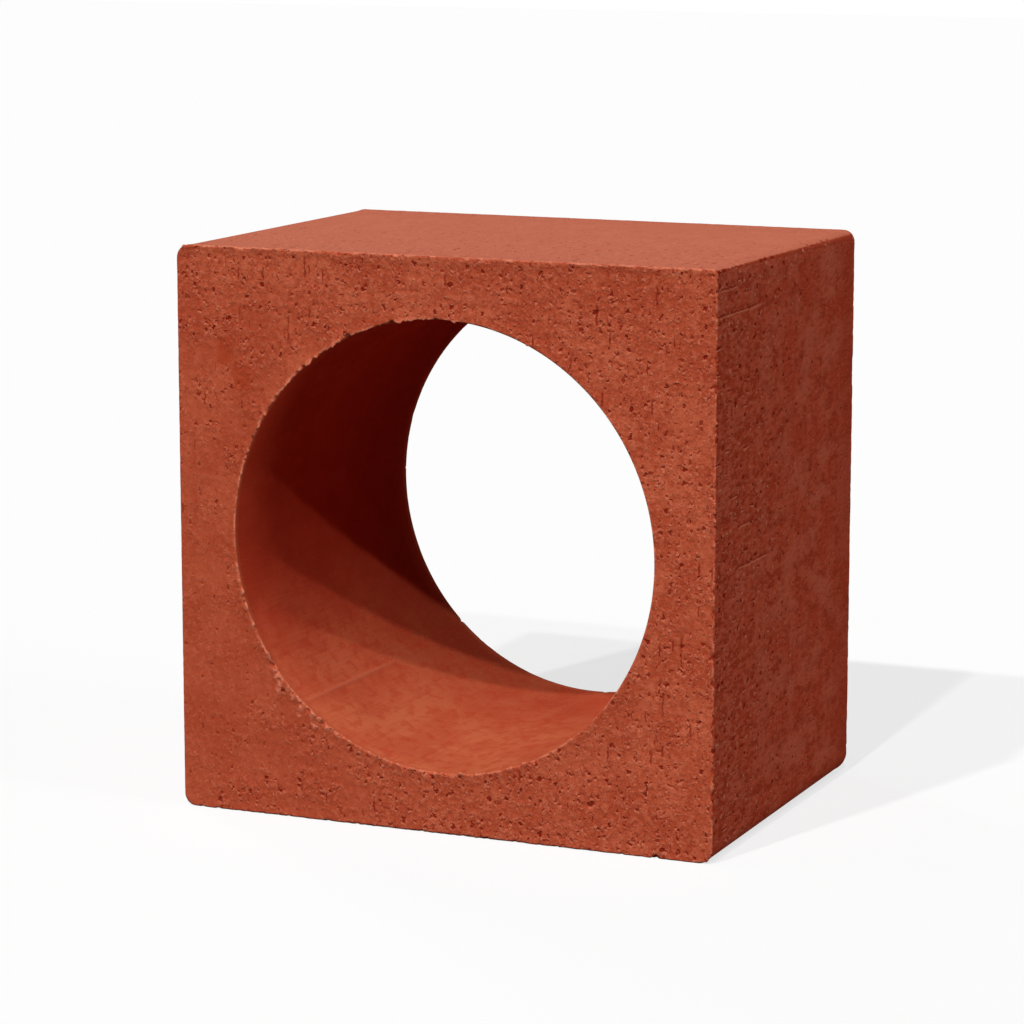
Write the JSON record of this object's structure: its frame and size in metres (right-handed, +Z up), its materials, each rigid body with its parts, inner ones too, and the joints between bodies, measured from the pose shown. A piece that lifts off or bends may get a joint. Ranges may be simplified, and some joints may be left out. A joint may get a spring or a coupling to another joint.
{
  "type": "clay screen brick",
  "caption": "Square terracotta screen brick with one large round hole straight through, rounded long edges and rough wire-cut faces.",
  "frame": {"origin": "on the floor, under the middle of the brick's lower bed", "axes": "+Z up, +Y along the round hole from the front cut face to the rear one, +X to the right as seen from the front"},
  "size_m": [0.2, 0.14, 0.2],
  "materials": {
    "clay": "matte unglazed terracotta, wire-cut on the two end faces"
  },
  "bodies": {
    "root": {"clay_block": "clay"}
  },
  "joints": []
}
